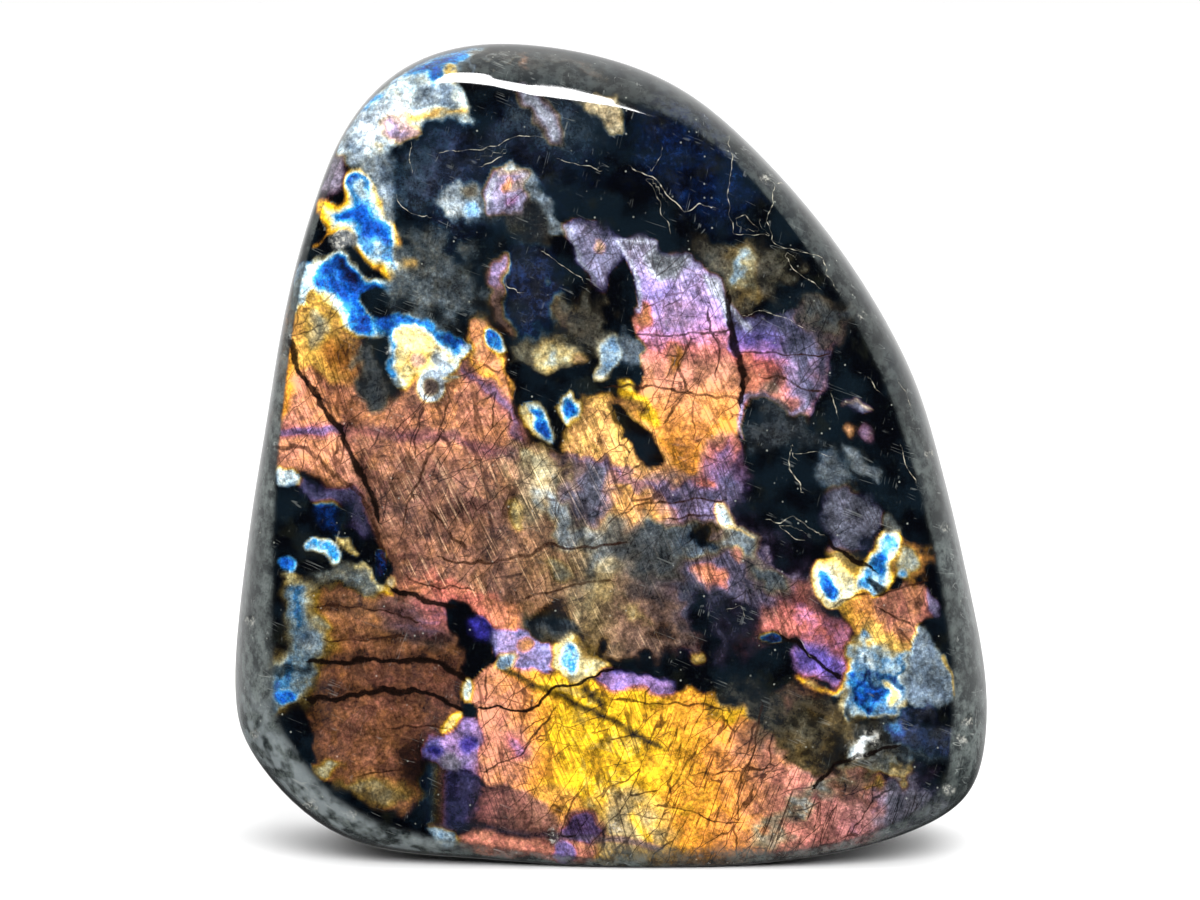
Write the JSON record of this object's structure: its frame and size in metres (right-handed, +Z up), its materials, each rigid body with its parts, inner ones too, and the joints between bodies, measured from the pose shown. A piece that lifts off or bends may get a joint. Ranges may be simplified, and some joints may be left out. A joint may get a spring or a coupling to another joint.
{
  "type": "labradorite freeform",
  "caption": "Polished standing freeform of labradorite with a flat sawn base, a near-flat flashing front face and a ground bevel around it.",
  "frame": {"origin": "middle of the stone's box, on the surface it stands on", "axes": "+Z up, -Y out of the polished front face, +X to the right as seen from the front"},
  "size_m": [0.1278, 0.0496, 0.1365],
  "materials": {
    "labradorite": "hand polished, dark grey feldspar with blue, gold, copper and violet flash"
  },
  "bodies": {
    "root": {"stone": "labradorite"}
  },
  "joints": []
}
